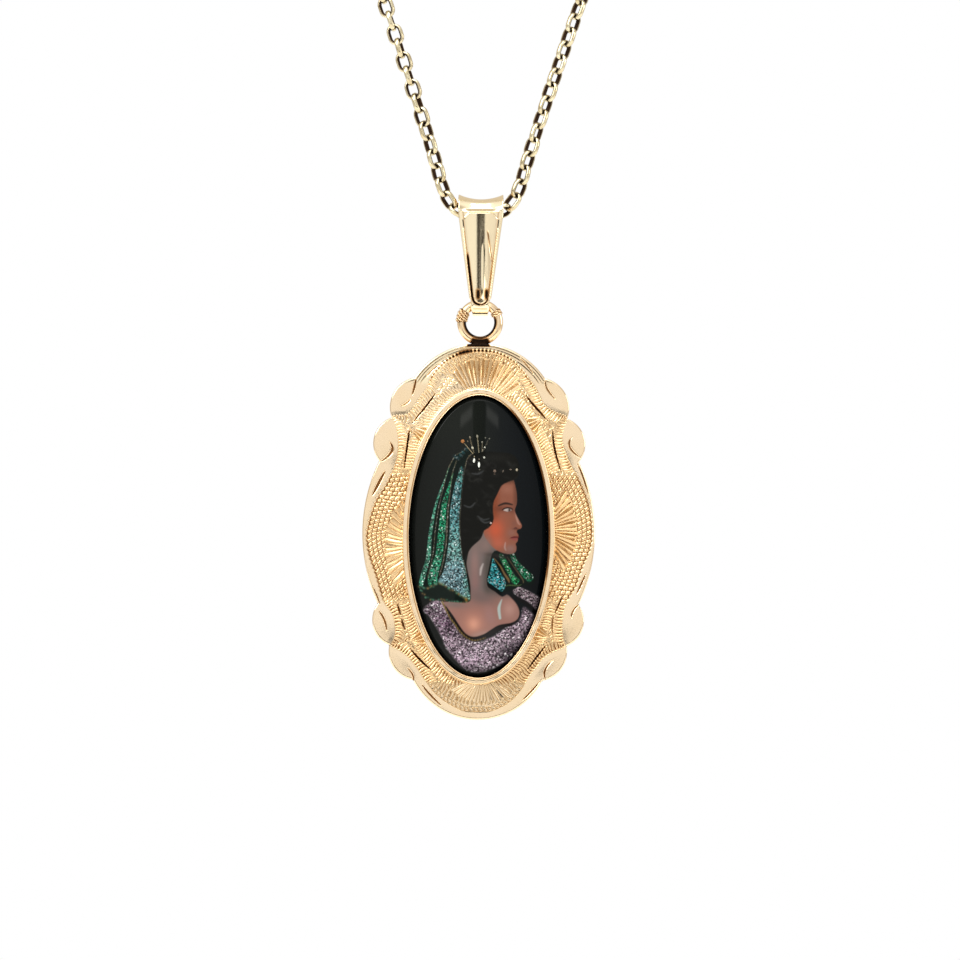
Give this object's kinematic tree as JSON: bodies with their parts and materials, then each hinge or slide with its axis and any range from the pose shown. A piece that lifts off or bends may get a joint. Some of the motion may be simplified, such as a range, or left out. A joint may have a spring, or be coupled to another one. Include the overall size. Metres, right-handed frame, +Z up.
{
  "type": "enamel pendant on a cable chain",
  "caption": "Scroll-edged oval gold pendant with a domed enamel plaque of a veiled lady, hung by a folded bail on a fine cable chain.",
  "frame": {"origin": "the place at the nape where the chain sits on the wearer, between clasp and end ring", "axes": "+X to the right seen from the front, +Z up, the pendant faces -Y"},
  "size_m": [0.1072, 0.1086, 0.2063],
  "materials": {
    "gold": "polished, engraved band",
    "enamel": "glossy enamel over foil",
    "dark_gold": "oxidised in the recesses"
  },
  "bodies": {
    "chain": {"chain": "dark_gold", "clasp": "dark_gold", "end_ring": "dark_gold"},
    "bail": {"bail": "gold"},
    "pendant": {"frame": "gold", "enamel": "enamel"}
  },
  "joints": [
    {"name": "bail_swing", "type": "hinge", "parent": "chain", "child": "bail", "pos_m": [0, -0.105, -0.163], "axis": [1, 0, 0], "range_deg": [-75, 75]},
    {"name": "pendant_swing", "type": "hinge", "parent": "bail", "child": "pendant", "pos_m": [0, -0.105, -0.17015], "axis": [1, 0, 0], "range_deg": [-75, 75]}
  ]
}
